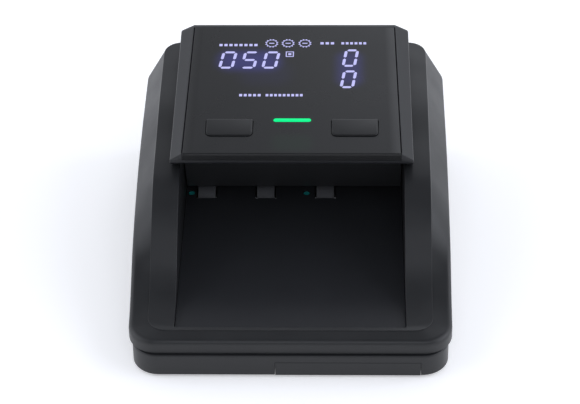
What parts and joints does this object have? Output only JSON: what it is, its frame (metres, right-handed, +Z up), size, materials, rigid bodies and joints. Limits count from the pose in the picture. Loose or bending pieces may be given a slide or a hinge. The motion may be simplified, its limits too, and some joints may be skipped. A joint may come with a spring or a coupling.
{
  "type": "counterfeit bill detector",
  "caption": "Compact black banknote tester: sunken bill tray between rising shoulders, belt-driven rollers, hinged head with a display, a green light bar and press keys.",
  "frame": {"origin": "middle of the footprint, at table height", "axes": "+Z up, -Y to the user's side (front), +X to the user's right"},
  "size_m": [0.12, 0.145, 0.0634],
  "materials": {
    "black_shell": "fine textured black",
    "black_satin": "satin black",
    "smoked_panel": "smoked, semi-gloss",
    "roller_rubber": "dull grey rubber",
    "belt_rubber": "dull black rubber",
    "steel": "bright",
    "bronze_bush": "sintered bronze, satin",
    "circuit_board": "green solder mask",
    "battery_wrap": "blue wrap",
    "green_light": "lit green light pipe",
    "sensor_glass": "teal sensor window",
    "lit_display": "lit, cool white",
    "dark_part": "black moulding"
  },
  "bodies": {
    "chassis": {"base_shell": "black_shell", "upper_shell": "black_shell", "bill_bed": "black_satin", "foot_1": "roller_rubber", "foot_2": "roller_rubber", "foot_3": "roller_rubber", "foot_4": "roller_rubber", "base_screw_1": "steel", "base_screw_2": "steel", "base_screw_3": "steel", "base_screw_4": "steel", "battery_pack": "battery_wrap", "main_board": "circuit_board", "control_chip": "dark_part", "gear_motor": "steel", "power_inlet": "black_shell", "switch_housing": "black_shell", "bush_1": "bronze_bush", "bush_2": "bronze_bush", "bush_3": "bronze_bush", "bush_4": "bronze_bush", "entry_sensor_1": "sensor_glass", "entry_sensor_2": "sensor_glass", "hinge_pin_left": "steel", "hinge_pin_right": "steel", "front_belt": "belt_rubber", "rear_belt": "belt_rubber"},
    "cover": {"battery_cover": "black_shell"},
    "front_drive": {"front_drive_shaft": "steel", "front_roller_1": "roller_rubber", "front_roller_2": "roller_rubber", "front_roller_3": "roller_rubber", "front_pulley": "dark_part"},
    "rear_drive": {"rear_drive_shaft": "steel", "rear_roller_1": "roller_rubber", "rear_roller_2": "roller_rubber", "rear_roller_3": "roller_rubber", "rear_pulley": "dark_part"},
    "motor_drive": {"motor_pulley": "dark_part", "motor_shaft": "steel"},
    "head": {"head_shell": "black_satin", "display_fascia": "smoked_panel", "display_board": "circuit_board", "amount_display": "lit_display", "unit_display": "lit_display", "symbol_display": "lit_display", "value_display": "lit_display", "light_bar": "green_light", "key_switch_left": "dark_part", "key_switch_right": "dark_part", "upper_guide": "black_shell", "image_sensor": "dark_part", "magnetic_head": "dark_part"},
    "idlers": {"idler_shaft": "steel", "idler_1": "roller_rubber", "idler_2": "roller_rubber", "idler_3": "roller_rubber"},
    "left_key": {"key_left": "black_satin"},
    "right_key": {"key_right": "black_satin"},
    "rocker": {"power_rocker": "dark_part"}
  },
  "joints": [
    {"name": "head_hinge", "type": "hinge", "parent": "chassis", "child": "head", "pos_m": [0, 0.0685, 0.0545], "axis": [-1, 0, 0], "range_deg": [0, 50]},
    {"name": "front_spin", "type": "hinge", "parent": "chassis", "child": "front_drive", "pos_m": [0, 0.0216, 0.0114], "axis": [1, 0, 0], "continuous": true},
    {"name": "rear_spin", "type": "hinge", "parent": "chassis", "child": "rear_drive", "pos_m": [0, 0.0555, 0.0114], "axis": [1, 0, 0], "continuous": true},
    {"name": "motor_spin", "type": "hinge", "parent": "chassis", "child": "motor_drive", "pos_m": [0, 0.0385, 0.0091], "axis": [1, 0, 0], "continuous": true},
    {"name": "idler_spin", "type": "hinge", "parent": "head", "child": "idlers", "pos_m": [0, 0.0555, 0.0217], "axis": [1, 0, 0], "continuous": true},
    {"name": "left_key_press", "type": "slide", "parent": "head", "child": "left_key", "axis": [0, 0.0972, -0.9953], "range_m": [0, 0.0008], "stiffness_N_per_m": 300, "springref_m": -0.0003},
    {"name": "right_key_press", "type": "slide", "parent": "head", "child": "right_key", "axis": [0, 0.0972, -0.9953], "range_m": [0, 0.0008], "stiffness_N_per_m": 300, "springref_m": -0.0003},
    {"name": "rocker_tilt", "type": "hinge", "parent": "chassis", "child": "rocker", "pos_m": [0.0564, 0.0525, 0.0225], "axis": [0, 0, 1], "range_deg": [-8, 8]},
    {"name": "cover_slide", "type": "slide", "parent": "chassis", "child": "cover", "axis": [0, -1, 0], "range_m": [0, 0.062]}
  ],
  "couplings": [
    {"joint": "rear_spin", "follows": "front_spin", "ratio": 1},
    {"joint": "motor_spin", "follows": "front_spin", "ratio": 1},
    {"joint": "idler_spin", "follows": "front_spin", "ratio": -1.5}
  ]
}
